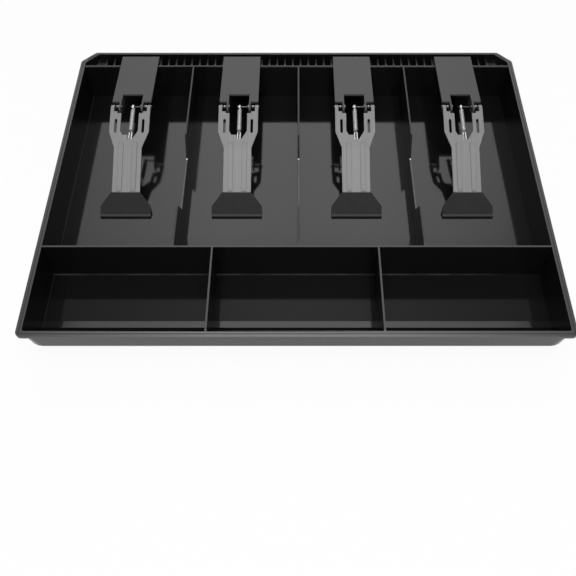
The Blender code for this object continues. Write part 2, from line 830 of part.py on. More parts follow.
def build_foot(name, surface):
    bend = arm_point(ARM_LENGTH)
    half = FOOT_WIDTH / 2
    pad = make(name, [(foot_profile(), -half - SPILL, half + SPILL, side_on())])
    keep(pad, (foot_plan(), -TRAY_HEIGHT, 0, plan()))
    behind = rectangle(-TRAY_HEIGHT, -TRAY_HEIGHT, FOOT_START, TRAY_HEIGHT)
    cut(pad, [(behind, -FOOT_WIDTH, FOOT_WIDTH, sloped_side(bend, BLADE_SLOPE))])
    pocket = rectangle(0, -ARM_SHEET - SEAT_GAP, TIP_LENGTH + SEAT_GAP, SEAT_GAP)
    reach = TIP_WIDTH / 2 + SEAT_GAP
    cut(pad, [(pocket, -reach, reach, sloped_side(bend, TIP_SLOPE))])
    return finish(pad, surface)


def build_rivet(name, sign, surface):
    """A rivet with a crowned collar between a bracket ear and a fork ear, on which the fork turns."""
    ear_inner = WINDOW_WIDTH / 2
    fork_outer = FORK_WIDTH / 2
    head = ear_inner - SEAT_GAP
    end = fork_outer + SEAT_GAP
    low = ear_inner + EAR_SHEET + SEAT_GAP
    high = fork_outer - FORK_EAR - SEAT_GAP
    profile = [
        (head - RIVET_HEAD, 0),
        (head - RIVET_HEAD, RIVET_HEAD_RADIUS - RIVET_EDGE),
        (head - RIVET_HEAD + RIVET_EDGE, RIVET_HEAD_RADIUS),
        (head, RIVET_HEAD_RADIUS),
        (head, PIVOT_RADIUS),
        (low, PIVOT_RADIUS),
        (low, COLLAR_END_RADIUS),
        ((2 * low + high) / 3, COLLAR_RADIUS),
        ((low + 2 * high) / 3, COLLAR_RADIUS),
        (high, COLLAR_END_RADIUS),
        (high, PIVOT_RADIUS),
        (end, PIVOT_RADIUS),
        (end, RIVET_END_RADIUS),
        (end + RIVET_END, RIVET_END_RADIUS - RIVET_EDGE),
        (end + RIVET_END, 0),
    ]
    return finish(turned(name, profile, sign=sign), surface)


def build_post(name, surface):
    """The pin, fixed in the right ear, that the spring's upper ring hangs on."""
    ear_outer = WINDOW_WIDTH / 2 + EAR_SHEET + SEAT_GAP
    profile = [
        (ear_outer + POST_HEAD, 0),
        (ear_outer + POST_HEAD, POST_HEAD_RADIUS),
        (ear_outer, POST_HEAD_RADIUS),
        (ear_outer, POST_RADIUS),
        (-POST_END, POST_RADIUS),
        (-POST_END, POST_HEAD_RADIUS),
        (-POST_END - POST_HEAD, POST_HEAD_RADIUS),
        (-POST_END - POST_HEAD, 0),
    ]
    return finish(turned(name, profile, POST_BACK, -POST_DROP), surface)


def ring_centre():
    """Y and Z of the middle of the spring's lower ring, whose far side bears on the tongue."""
    inside = LOWER_RING_RADIUS - WIRE / 2
    along = HOOK_NOTCH_END - TONGUE_REACH + TONGUE_SHEET + 2 * RING_SLACK - inside
    return arm_point(along, -RING_BELOW_ARM)


def spring_points():
    """Centre line of the spring: ring round the post, coils, and a long loop round the tongue."""
    post = Vector((0, POST_BACK, -POST_DROP))
    end = Vector((0, *ring_centre()))
    along = (end - post).normalized()
    across = Vector((1, 0, 0))
    up = along.cross(across)
    start = post + along * (TOP_RING_RADIUS - WIRE / 2 - POST_RADIUS - RING_SLACK)
    reach = (end - start).length
    radius = (COIL_DIAMETER - WIRE) / 2

    def at(w, v, x):
        return start + along * w + up * v + across * x

    points = []
    for i in range(11):
        angle = math.radians(40 + 29 * i)
        points.append(at(TOP_RING_RADIUS * math.cos(angle), TOP_RING_RADIUS * math.sin(angle), 0))
    points.append(at((TOP_RING_RADIUS + COIL_START) / 2, -radius * 0.7, 0))
    steps = COIL_TURNS * POINTS_PER_TURN
    for i in range(steps + 1):
        angle = 2 * math.pi * i / POINTS_PER_TURN - math.pi / 2
        w = COIL_START + COIL_LENGTH * i / steps
        points.append(at(w, radius * math.sin(angle), radius * math.cos(angle)))
    coil_end = COIL_START + COIL_LENGTH
    loop_start = coil_end + LOOP_LEAD
    right = HOOK_OFFSET + LOWER_RING_RADIUS
    points.append(at(coil_end + LOOP_LEAD / 3, -radius * 0.8, right * 0.5))
    points.append(at(loop_start, 0, right))
    for i in range(7):
        angle = math.radians(30 * i)
        x = HOOK_OFFSET + LOWER_RING_RADIUS * math.cos(angle)
        points.append(at(reach + LOWER_RING_RADIUS * math.sin(angle), 0, x))
    points.append(at(loop_start, 0, HOOK_OFFSET - LOWER_RING_RADIUS))
    return points


def least_gap(points):
    """Smallest air gap between stretches of wire that lie more than half a turn apart."""
    apart = POINTS_PER_TURN * 3 // 4
    least = min(
        (points[i] - points[j]).length for i in range(len(points)) for j in range(i + apart, len(points))
    )
    return least - WIRE


def build_spring(name, surface):
    points = spring_points()
    print(f"{name}: least gap {least_gap(points) * 1000:.2f} mm, over 0.4 mm wanted")
    curve = bpy.data.curves.new(name, "CURVE")
    curve.dimensions = "3D"
    spline = curve.splines.new("POLY")
    spline.points.add(len(points) - 1)
    for place, point in zip(spline.points, points):
        place.co = (*point, 1)
    curve.bevel_depth = WIRE / 2
    curve.bevel_resolution = 1
    curve.use_fill_caps = True
    item = bpy.data.objects.new(name, curve)
    bpy.context.scene.collection.objects.link(item)
    return finish(item, surface)


def clip_places():
    """X of each clip: the comb slot nearest to the middle of each note compartment."""
    walls = [-SIDE_FACE] + note_divider_places(0) + [SIDE_FACE]
    middles = [(a + b) / 2 for a, b in zip(walls, walls[1:])]
    return [round(middle / COMB_PITCH) * COMB_PITCH for middle in middles]


def place_clip(pieces, number, x):
    """Hangs a copy of each piece on an empty at the clip's pivot."""
    pivot = bpy.data.objects.new(f"clip_pivot_{number}", None)
    pivot.empty_display_size = FORK_WIDTH / 2
    pivot.location = (x, PIVOT_Y, PIVOT_Z)
    bpy.context.scene.collection.objects.link(pivot)
    for piece in pieces:
        name = f"{piece.name}_{number}"
        copy = bpy.data.objects.new(name, piece.data.copy())
        copy.data.name = name
        copy.parent = pivot
        bpy.context.scene.collection.objects.link(copy)


def main():
    clear_scene()
    plastic = material("tray_plastic", (0.008, 0.008, 0.009), 0.12, 0)
    painted = material("bracket_paint", (0.10, 0.10, 0.10), 0.45, 0)
    stamped = material("arm_steel", (0.32, 0.32, 0.32), 0.42, 0.6)
    rubber = material("foot_rubber", (0.025, 0.025, 0.025), 0.6, 0)
    steel = material("pin_steel", (0.65, 0.65, 0.66), 0.22, 1)
    spring_wire = material("spring_wire", (0.72, 0.72, 0.73), 0.2, 1)
    build_tray(plastic)
    pieces = [
        build_bracket("clip_bracket", painted),
        build_arm("clip_arm", stamped),
        build_foot("foot_pad", rubber),
        build_rivet("hinge_rivet_left", -1, steel),
        build_rivet("hinge_rivet_right", 1, steel),
        build_post("spring_post", steel),
        build_spring("spring", spring_wire),
    ]
    for number, x in enumerate(clip_places(), 1):
        place_clip(pieces, number, x)
    for piece in pieces:
        bpy.data.objects.remove(piece, do_unlink=True)


main()
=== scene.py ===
import json
import math
import bpy
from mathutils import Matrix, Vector


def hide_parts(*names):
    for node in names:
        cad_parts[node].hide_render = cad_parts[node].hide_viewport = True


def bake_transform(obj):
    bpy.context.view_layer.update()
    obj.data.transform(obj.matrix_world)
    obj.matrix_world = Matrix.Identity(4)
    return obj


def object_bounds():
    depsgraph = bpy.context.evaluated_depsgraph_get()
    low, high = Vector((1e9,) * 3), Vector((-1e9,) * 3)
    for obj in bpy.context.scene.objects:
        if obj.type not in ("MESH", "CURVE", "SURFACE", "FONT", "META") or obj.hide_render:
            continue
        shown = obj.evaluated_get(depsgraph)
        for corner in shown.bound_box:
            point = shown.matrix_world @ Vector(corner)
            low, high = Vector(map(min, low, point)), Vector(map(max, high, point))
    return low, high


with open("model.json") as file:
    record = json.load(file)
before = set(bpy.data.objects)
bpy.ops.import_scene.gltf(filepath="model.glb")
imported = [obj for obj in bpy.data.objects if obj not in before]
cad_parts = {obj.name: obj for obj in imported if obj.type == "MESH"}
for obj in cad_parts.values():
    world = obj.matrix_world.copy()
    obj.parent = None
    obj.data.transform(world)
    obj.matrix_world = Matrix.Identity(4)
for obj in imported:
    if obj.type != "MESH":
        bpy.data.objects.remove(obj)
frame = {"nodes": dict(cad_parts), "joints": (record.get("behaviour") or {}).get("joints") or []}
nodes = frame["nodes"]
cadBox = [list(corner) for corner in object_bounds()]
trayTop = max(vertex.co.z for vertex in nodes["tray"].data.vertices)
clips = (1, 2, 3, 4)
mm = 0.001


# camera, fitted to the tray's rim and compartments in the photo
cameraSet = {
    "place": (0.0, -0.3384, 0.4449),
    "tilt": 37.7,
    "lens": 48.9,
    "sensor": 36,
    "shift": (-0.015, -0.153),
    "nearest": 0.01,
}


def addCamera():
    data = bpy.data.cameras.new("camera")
    data.lens = cameraSet["lens"]
    data.sensor_width = cameraSet["sensor"]
    data.shift_x, data.shift_y = cameraSet["shift"]
    data.clip_start = cameraSet["nearest"]
    camera = bpy.data.objects.new("camera", data)
    camera.location = cameraSet["place"]
    camera.rotation_euler = (math.radians(cameraSet["tilt"]), 0, 0)
    bpy.context.scene.collection.objects.link(camera)
    bpy.context.scene.camera = camera


# small helpers for node trees
def newMaterial(name):
    material = bpy.data.materials.new(name)
    material.use_nodes = True
    tree = material.node_tree
    tree.nodes.clear()
    output = tree.nodes.new("ShaderNodeOutputMaterial")
    shader = tree.nodes.new("ShaderNodeBsdfPrincipled")
    tree.links.new(shader.outputs[0], output.inputs[0])
    return material, tree, shader


def addNode(tree, kind, inputs=None, **settings):
    node = tree.nodes.new(kind)
    for key, value in settings.items():
        setattr(node, key, value)
    for key, value in (inputs or {}).items():
        if isinstance(value, bpy.types.NodeSocket):
            tree.links.new(value, node.inputs[key])
        else:
            node.inputs[key].default_value = value
    return node


def stretched(tree, scale=(1, 1, 1)):
    place = addNode(tree, "ShaderNodeTexCoord").outputs["Object"]
    return addNode(tree, "ShaderNodeMapping", {0: place, 3: scale}).outputs[0]


def noise(tree, place, detail, scale=1.0):
    inputs = {"Vector": place, "Scale": scale, "Detail": detail}
    return addNode(tree, "ShaderNodeTexNoise", inputs).outputs[0]


def spread(tree, value, low, high, fromLow=0.3, fromHigh=0.7):
    inputs = {0: value, 1: fromLow, 2: fromHigh, 3: low, 4: high}
    return addNode(tree, "ShaderNodeMapRange", inputs).outputs[0]


def above(tree, value, low, high):
    # from 0 at the low value to 1 at the high one
    return spread(tree, value, 0, 1, low, high)


def below(tree, value, low, high):
    # from 1 at the low value to 0 at the high one
    return spread(tree, value, 1, 0, low, high)


def mixColour(tree, factor, first, second):
    # each colour is a grey level or a socket
    ends = [(c, c, c, 1) if isinstance(c, float) else c for c in (first, second)]
    inputs = {0: factor, 6: ends[0], 7: ends[1]}
    return addNode(tree, "ShaderNodeMix", inputs, data_type="RGBA").outputs[2]


def mixValue(tree, factor, first, second):
    inputs = {0: factor, 2: first, 3: second}
    return addNode(tree, "ShaderNodeMix", inputs, data_type="FLOAT").outputs[0]


def calculate(tree, operation, first, second=None):
    inputs = {0: first} if second is None else {0: first, 1: second}
    return addNode(tree, "ShaderNodeMath", inputs, operation=operation).outputs[0]


def absolute(tree, value):
    return calculate(tree, "ABSOLUTE", value)


def times(tree, first, *others):
    for other in others:
        first = calculate(tree, "MULTIPLY", first, other)
    return first


def apart(tree, value, place):
    return absolute(tree, calculate(tree, "SUBTRACT", value, place))


def stripe(tree, value, place, wide, strength=1):
    # a line at a place, which is gone at its width to either side
    return spread(tree, apart(tree, value, place), strength, 0, wide / 2, wide)


def between(tree, value, low, high, soft):
    return times(tree, above(tree, value, low - soft, low), below(tree, value, high, high + soft))


def axesOf(tree, vector):
    return addNode(tree, "ShaderNodeSeparateXYZ", {0: vector}).outputs


def facing(tree):
    return axesOf(tree, addNode(tree, "ShaderNodeNewGeometry").outputs["Normal"])


def addBump(tree, shader, height, depth):
    bump = addNode(tree, "ShaderNodeBump", {"Height": height, "Distance": depth})
    tree.links.new(bump.outputs[0], shader.inputs["Normal"])


# tray plastic: black and glossy, with faint flow marks; its upright faces and raised tops are duller.
# Painted light makes the upright faces near its outline and its raised tops lighter.
# Pairs are the two ends of a range, and lengths are in metres.
trayLook = {
    "dark": 0.0049,
    "light": 0.0071,
    "gloss": (0.06, 0.10),
    "uprightGloss": 0.14,
    "sideGloss": 0.36,
    "topGloss": 0.42,
    "shine": 0.5,
    "grainSize": 1400,
    "grainDepth": 0.000003,
    "flowSize": (9, 14, 9),
    "streakSize": (12, 900, 900),
    "uprightTilt": (0.25, 0.6),
    "sidewaysTilt": (0.6, 0.9),
    "topTilt": (0.7, 0.92),
    "topFrom": (0.015, 0.017),
    # painted light on the upright faces near the outline, in streaks
    "outside": (0.022, 0.034),
    "outsideIn": (0.0024, 0.0028),
}

# painted highlights: the light lines in the hollow corners of the floors
cornerHighlightLook = {
    "colour": 0.06,
    "fromFront": 0.063,
    "fromSide": 0.0039,
    "sideStrength": 0.4,
    "wide": 0.00045,
    "below": (0.0036, 0.0042),
    "streakSize": (45, 12, 0),
    "faintest": 0.15,
    "fades": (0.112, 0.136),
    "faded": 0.08,
}

# painted light and shade on the tops of rim, walls and comb: lighter tops, painted highlights and a painted
# glint, and painted shade in the comb's slots
paintedTopLightAndShade = {
    # painted light: wall tops are lighter, more so near the front
    "wall": 0.033,
    "nearWall": 0.066,
    "nearWallTo": (0.064, 0.068),
    # painted light on the dividers' low stretch, and a painted glint where it begins
    "lowWall": 0.085,
    "lowWallDown": 0.0156,
    "lowWallSoft": (0.001, 0.003),
    "glint": 0.7,
    "glintFromFront": 0.15,
    "glintWide": (0.0006, 0.001),
    "combDown": 0.005,
    "combSoft": (0.0005, 0.001),
    "combTo": (0.0118, 0.0125),
    # painted shade in the comb's slots; webs darker near the corners, with painted light towards their front
    # ends
    "combGap": 0.0008,
    "combPitch": 0.006,
    "webWide": 0.0012,
    "webSoft": 0.0003,
    "web": 0.021,
    "cornerWeb": 0.010,
    "cornerWebTo": (0.012, 0.03),
    "webEnd": 0.045,
    "webEndFrom": (0.0066, 0.0074),
    # painted light on the back rim over the comb
    "backRim": 0.062,
    "backRimTo": (0.0024, 0.003),
    "backRimOverComb": (0.001, 0.002),
    # painted light: the rim is lighter, more so towards the front
    "rim": (0.057, 0.080),
    "rimLighter": (0.03, 0.17),
    "rimTo": (0.0046, 0.0049),
    # painted highlights in streaks on the front rim
    "paintedFrontRimHighlight": (0.12, 0.22),
    "frontRimTo": (0.003, 0.006),
    "frontRimFull": (0, 0.12),
    "line": 0.018,
    "lineIn": 0.0019,
    "lineWide": 0.00035,
}


def trayPlaces(tree):
    # where a point lies: across and up, and how far in from the sides, the front and the back
    across, along, height = axesOf(tree, stretched(tree))
    side = calculate(tree, "SUBTRACT", -cadBox[0][0], absolute(tree, across))
    front = calculate(tree, "SUBTRACT", along, cadBox[0][1])
    back = calculate(tree, "SUBTRACT", -cadBox[0][1], along)
    near = calculate(tree, "MINIMUM", side, front)
    return {"across": across, "height": height, "side": side, "front": front, "back": back, "near": near}


def trayPlastic():
    material, tree, shader = newMaterial("trayPlastic")
    look = trayLook
    flow = noise(tree, stretched(tree, look["flowSize"]), 4)
    streak = noise(tree, stretched(tree, look["streakSize"]), 3)
    grain = noise(tree, stretched(tree), 1, look["grainSize"])
    at = trayPlaces(tree)
    tilt = facing(tree)
    onTop = times(tree, above(tree, at["height"], *look["topFrom"]), above(tree, tilt[2], *look["topTilt"]))
    upright = below(tree, absolute(tree, tilt[2]), *look["uprightTilt"])
    # painted light: upright faces near the outline are made lighter, in streaks
    outside = times(tree, upright, below(tree, at["near"], *look["outsideIn"]))
    colour = mixColour(tree, flow, look["dark"], look["light"])
    colour = mixColour(tree, outside, colour, mixColour(tree, streak, *look["outside"]))
    # painted highlights in the floors' hollow corners
    colour = mixColour(tree, paintedCornerHighlights(tree, at), colour, cornerHighlightLook["colour"])
    # painted light and shade on the raised tops
    colour = mixColour(tree, onTop, colour, paintedTopLight(tree, at, streak))
    tree.links.new(colour, shader.inputs["Base Color"])
    sideways = above(tree, absolute(tree, tilt[0]), *look["sidewaysTilt"])
    wallGloss = mixValue(tree, sideways, look["uprightGloss"], look["sideGloss"])
    gloss = mixValue(tree, upright, spread(tree, flow, *look["gloss"]), wallGloss)
    tree.links.new(mixValue(tree, onTop, gloss, look["topGloss"]), shader.inputs["Roughness"])
    shader.inputs["Specular IOR Level"].default_value = look["shine"]
    addBump(tree, shader, grain, look["grainDepth"])
    return material


def paintedCornerHighlights(tree, at):
    # painted highlights, broken into streaks, strongest along the cross wall and nearly gone at the right
    look = cornerHighlightLook
    cross = stripe(tree, at["front"], look["fromFront"], look["wide"])
    outer = stripe(tree, at["side"], look["fromSide"], look["wide"], look["sideStrength"])
    lines = calculate(tree, "MAXIMUM", cross, outer)
    streaks = spread(tree, noise(tree, stretched(tree, look["streakSize"]), 3), look["faintest"], 1)
    fade = spread(tree, at["across"], 1, look["faded"], *look["fades"])
    return times(tree, below(tree, at["height"], *look["below"]), lines, streaks, fade)


def paintedTopLight(tree, at, streak):
    # painted light: the rim is lighter than the walls inside it, most so at the front, with painted
    # highlights in streaks on the front rim and a lighter back rim over the comb, and a fine line runs round
    # it
    look = paintedTopLightAndShade
    combTop = trayTop - look["combDown"]
    colour = mixColour(tree, ontoComb(tree, at, combTop), paintedWallTopLight(tree, at), paintedCombWebsAndSlotShade(tree, at))
    onBack = below(tree, at["back"], *look["backRimTo"])
    overComb = above(tree, at["height"], *(combTop + soft for soft in look["backRimOverComb"]))
    colour = mixColour(tree, times(tree, onBack, overComb), colour, look["backRim"])
    rim = mixColour(tree, above(tree, at["front"], *look["rimLighter"]), *look["rim"])
    # painted highlights in streaks on the front rim
    onFront = below(tree, at["front"], *look["frontRimTo"])
    onFront = times(tree, onFront, above(tree, at["side"], *look["frontRimFull"]))
    rim = mixColour(tree, onFront, rim, mixColour(tree, streak, *look["paintedFrontRimHighlight"]))
    colour = mixColour(tree, below(tree, at["near"], *look["rimTo"]), colour, rim)
    line = stripe(tree, at["near"], look["lineIn"], look["lineWide"])
    return mixColour(tree, line, colour, look["line"])


def paintedWallTopLight(tree, at):
    # painted light: the wall tops are lighter, more so near the front, and the dividers are lighter still on
    # their low stretch, with a painted glint where it begins
    look = paintedTopLightAndShade
    colour = mixColour(tree, below(tree, at["front"], *look["nearWallTo"]), look["wall"], look["nearWall"])
    lowTop = trayTop - look["lowWallDown"]
    low = below(tree, at["height"], *(lowTop + soft for soft in look["lowWallSoft"]))
    colour = mixColour(tree, low, colour, look["lowWall"])
    # painted glint where the low stretch begins
    glint = below(tree, apart(tree, at["front"], look["glintFromFront"]), *look["glintWide"])
    return mixColour(tree, times(tree, low, glint), colour, look["glint"])


def ontoComb(tree, at, combTop):
    low = below(tree, at["height"], *(combTop + soft for soft in paintedTopLightAndShade["combSoft"]))
    return times(tree, low, below(tree, at["back"], *paintedTopLightAndShade["combTo"]))


def paintedCombWebsAndSlotShade(tree, at):
    # the comb's webs, which are drawn on where its solid corners have no slots; the gaps between the webs
    # are painted shade, and the webs are darker near the corners, with painted light towards their front
    # ends
    look = paintedTopLightAndShade
    colour = mixColour(tree, below(tree, at["side"], *look["cornerWebTo"]), look["web"], look["cornerWeb"])
    colour = mixColour(tree, above(tree, at["back"], *look["webEndFrom"]), colour, look["webEnd"])
    turn = calculate(tree, "MODULO", absolute(tree, at["across"]), look["combPitch"])
    offWeb = apart(tree, turn, look["combPitch"] / 2)
    onWeb = below(tree, offWeb, look["webWide"] / 2, look["webWide"] / 2 + look["webSoft"])
    # painted shade in the gaps between the webs
    return mixColour(tree, onWeb, look["combGap"], colour)


# bracket paint: dark grey, fine powder grain
bracketLook = {
    "dark": 0.078,
    "light": 0.087,
    "gloss": (0.40, 0.5),
    "shine": 0.25,
    "cloudSize": 60,
    "grainSize": 3200,
    "grainDepth": 0.000012,
}


def bracketPaint():
    material, tree, shader = newMaterial("bracketPaint")
    cloud = noise(tree, stretched(tree), 3, bracketLook["cloudSize"])
    grain = noise(tree, stretched(tree), 2, bracketLook["grainSize"])
    colour = mixColour(tree, cloud, bracketLook["dark"], bracketLook["light"])
    tree.links.new(colour, shader.inputs["Base Color"])
    tree.links.new(spread(tree, grain, *bracketLook["gloss"]), shader.inputs["Roughness"])
    shader.inputs["Specular IOR Level"].default_value = bracketLook["shine"]
    addBump(tree, shader, grain, bracketLook["grainDepth"])
    return material


# arm coating: lighter grey, with faint press streaks along the arm and painted shade in the creases round
# its pressed ribs
armLook = {
    "dark": 0.205,
    "light": 0.28,
    "gloss": (0.36, 0.5),
    "streaks": (900, 22, 22),
    "clipsAt": (0.042, 0.12),
    "ribSides": (0.0032, 0.0066),
    "ribEnds": (0.0035, 0.0345),
    "ribLineWide": 0.00022,
    "ribLineStrength": 0.55,
    # painted shade in the creases round the ribs
    "ribCreaseShadeColour": 0.09,
    "grainSize": 2600,
    "grainDepth": 0.00001,
}


def armSteel():
    material, tree, shader = newMaterial("armSteel")
    streak = noise(tree, stretched(tree, armLook["streaks"]), 3)
    grain = noise(tree, stretched(tree), 2, armLook["grainSize"])
    plain = mixColour(tree, streak, armLook["dark"], armLook["light"])
    colour = mixColour(tree, paintedRibCreaseShade(tree), plain, armLook["ribCreaseShadeColour"])
    tree.links.new(colour, shader.inputs["Base Color"])
    tree.links.new(spread(tree, grain, *armLook["gloss"]), shader.inputs["Roughness"])
    addBump(tree, shader, grain, armLook["grainDepth"])
    return material


# painted shade: darker lines in the creases round the pressed ribs
def paintedRibCreaseShade(tree):
    across, along, _ = axesOf(tree, stretched(tree))
    inner, outer = (apart(tree, absolute(tree, across), place) for place in armLook["clipsAt"])
    off = calculate(tree, "MINIMUM", inner, outer)
    wide, strength = armLook["ribLineWide"], armLook["ribLineStrength"]
    sides = [stripe(tree, off, place, wide, strength) for place in armLook["ribSides"]]
    ends = [stripe(tree, along, place, wide, strength) for place in armLook["ribEnds"]]
    lines = calculate(tree, "MAXIMUM", *sides)
    lines = times(tree, lines, between(tree, along, *armLook["ribEnds"], wide))
    caps = calculate(tree, "MAXIMUM", *ends)
    caps = times(tree, caps, between(tree, off, *armLook["ribSides"], wide))
    return calculate(tree, "MAXIMUM", lines, caps)


# foot pad: near black, matt, finely pebbled, with a lighter toe: painted light on its upward faces
padLook = {
    "dark": 0.025,
    "light": 0.034,
    "gloss": (0.35, 0.5),
    "shine": 0.12,
    # painted light on the pad's upward faces
    "toe": 0.058,
    "toeTilt": (0.86, 0.95),
    "wearSize": 180,
    "pebbleSize": 1800,
    "pebbleDepth": 0.00003,
}


def footRubber():
    material, tree, shader = newMaterial("footRubber")
    pebble = noise(tree, stretched(tree), 2, padLook["pebbleSize"])
    wear = noise(tree, stretched(tree), 3, padLook["wearSize"])
    worn = mixColour(tree, wear, padLook["dark"], padLook["light"])
    # painted light: upward faces are lighter
    toe = above(tree, facing(tree)[2], *padLook["toeTilt"])
    tree.links.new(mixColour(tree, toe, worn, padLook["toe"]), shader.inputs["Base Color"])
    tree.links.new(spread(tree, pebble, *padLook["gloss"]), shader.inputs["Roughness"])
    shader.inputs["Specular IOR Level"].default_value = padLook["shine"]
    addBump(tree, shader, pebble, padLook["pebbleDepth"])
    return material


# bright metal of pins and springs, scuffed finely; the near white of the springs' rings and loops is a
# painted highlight
metalLook = {
    "rivet": {"colour": (0.30, 0.42), "gloss": (0.12, 0.2), "metallic": 1},
    "post": {"colour": (0.10, 0.15), "gloss": (0.2, 0.3), "metallic": 1},
    "wire": {"colour": (0.58, 0.72), "gloss": (0.2, 0.3), "metallic": 0.45},
    # near white rings and loops: a painted highlight
    "hook": {"colour": (0.98, 1.0), "gloss": (0.2, 0.3), "metallic": 0.2},
}
scuffSize = (500, 1500, 1500)


def brightMetal(name, look):
    material, tree, shader = newMaterial(name)
    scuff = noise(tree, stretched(tree, scuffSize), 3)
    tree.links.new(mixColour(tree, scuff, *look["colour"]), shader.inputs["Base Color"])
    tree.links.new(spread(tree, scuff, *look["gloss"]), shader.inputs["Roughness"])
    shader.inputs["Metallic"].default_value = look["metallic"]
    return material


# edges broken as moulded or pressed ones are, in metres
edgeSet = {
    "tray": {"width": 0.001, "segments": 3},
    "clip_bracket": {"width": 0.00018, "segments": 2},
    "clip_arm": {"width": 0.00012, "segments": 2},
    "foot_pad": {"width": 0.0004, "segments": 3},
    "hinge_rivet_left": {"width": 0.00008, "segments": 1},
    "hinge_rivet_right": {"width": 0.00008, "segments": 1},
    "spring_post": {"width": 0.00008, "segments": 1},
}
angleSet = {"flat": 0.5, "trayEdge": 25, "smooth": 30, "edge": 32}

# the share of its width that a tray edge gets, and the places by which the edges are told apart
trayEdges = {"rim": 0.6, "divider": 0.35, "comb": 0.2, "fillet": 0.9, "other": 0.25}
edgePlaces = {
    "grooveIn": (0.003, 0.02),
    "grooveHeight": (0.019, 0.0205),
    "combIn": 0.0119,
    "combSoft": 0.0005,
    "combSide": 0.157,
    "filletBeforeComb": 0.001,
    "underside": 0.0005,
    "lowEdge": 0.0045,
    "topSoft": 0.0001,
    "halfWidth": 0.1651,
    "rimWide": 0.006,
}


def breakEdges(item, edge, byWeight):
    if byWeight:
        flat = item.modifiers.new("flat faces", "DECIMATE")
        flat.decimate_type = "DISSOLVE"
        flat.angle_limit = math.radians(angleSet["flat"])
    bevel = item.modifiers.new("edges", "BEVEL")
    bevel.width = edge["width"]
    bevel.segments = edge["segments"]
    bevel.limit_method = "WEIGHT" if byWeight else "ANGLE"
    bevel.angle_limit = math.radians(angleSet["edge"])
    bevel.use_clamp_overlap = not byWeight
    bevel.harden_normals = True
    bevel.miter_outer = "MITER_ARC"


def trayWeight(one, other, hollow):
    # part of the full bevel width for a tray edge between two corners
    places = edgePlaces
    front = cadBox[0][1]
    combFront = -front - places["combIn"]
    nearest, farthest = sorted((one.y, other.y))
    lowest, highest = sorted((one.z, other.z))
    grooveFrom, grooveTo = (front + place for place in places["grooveIn"])
    grooveLow, grooveHigh = places["grooveHeight"]
    if nearest > grooveFrom and farthest < grooveTo and lowest > grooveLow and highest < grooveHigh:
        return 0
    if hollow:
        inside = lowest > places["underside"] and farthest < combFront - places["filletBeforeComb"]
        return trayEdges["fillet"] if inside else 0
    if lowest < places["lowEdge"]:
        return trayEdges["other"]
    if nearest > combFront - places["combSoft"] and max(abs(one.x), abs(other.x)) < places["combSide"]:
        return trayEdges["comb"]
    if lowest > trayTop - places["topSoft"]:
        across, along = (one.x + other.x) / 2, (one.y + other.y) / 2
        fromOutline = min(places["halfWidth"] - abs(across), along - front, -front - along)
        return trayEdges["rim"] if fromOutline < places["rimWide"] else trayEdges["divider"]
    return trayEdges["other"]


def weighTrayEdges(item):
    mesh = item.data
    sides = {}
    for face in mesh.polygons:
        for key in face.edge_keys:
            sides.setdefault(key, []).append(face)
    weights = mesh.attributes.get("bevel_weight_edge")
    weights = weights or mesh.attributes.new("bevel_weight_edge", "FLOAT", "EDGE")
    sharp = math.radians(angleSet["trayEdge"])
    for edge in mesh.edges:
        faces = sides.get(edge.key, [])
        if len(faces) != 2 or faces[0].normal.angle(faces[1].normal, 0) < sharp:
            continue
        hollow = (faces[1].center - faces[0].center).dot(faces[0].normal) > 0
        one, other = (mesh.vertices[i].co for i in edge.vertices)
        weights.data[edge.index].value = trayWeight(one, other, hollow)


def dress(item, finish, edge, byWeight=False):
    item.data.materials.clear()
    item.data.materials.append(finish)
    item.data.shade_smooth()
    item.data.set_sharp_from_angle(angle=math.radians(angleSet["smooth"]))
    if byWeight:
        weighTrayEdges(item)
    breakEdges(item, edge, byWeight)


def dressNodes():
    plastic, paint = trayPlastic(), bracketPaint()
    steel, rubber = armSteel(), footRubber()
    rivet = brightMetal("rivetSteel", metalLook["rivet"])
    post = brightMetal("postSteel", metalLook["post"])
    finishes = {
        "clip_bracket": paint,
        "clip_arm": steel,
        "foot_pad": rubber,
        "hinge_rivet_left": rivet,
        "hinge_rivet_right": rivet,
        "spring_post": post,
    }
    dress(nodes["tray"], plastic, edgeSet["tray"], byWeight=True)
    for kind, finish in finishes.items():
        for clip in clips:
            dress(nodes[f"{kind}_{clip}"], finish, edgeSet[kind])


# the visible spring: finer coils than the solid one, in millimetres and degrees. Places are along and up
# from the arm's pivot, and both hooks are the wire beyond the last pair.
springSet = {
    "wire": 0.65,
    "wireSmoothness": 3,
    "coilWidth": 3.1,
    "coilStart": 2.6,
    "coilEnd": 20.4,
    "turns": 26,
    "pointsPerTurn": 22,
    "topRing": 1.22,
    "topRingFrom": 40,
    "topRingTurn": 650,
    "topRingPoints": 60,
    "topRingGap": 1.04,
    "topLeadPoints": 6,
    "lowRing": 0.88,
    "lowRingPoints": 18,
    "lowBends": ((0.45, 0.85, 0.5), (1.0, 0.45, 0.85)),
    "loopLead": 1.7,
    "post": (3.2, -3.45),
    "postReach": 0.115,
    "lowCentre": (-24.42, -8.05),
    "sideways": 0.54,
    "topSideways": 0.4,
    "hookThicker": 1.35,
    "hooksBeyond": (-18.0, 1.0),
}


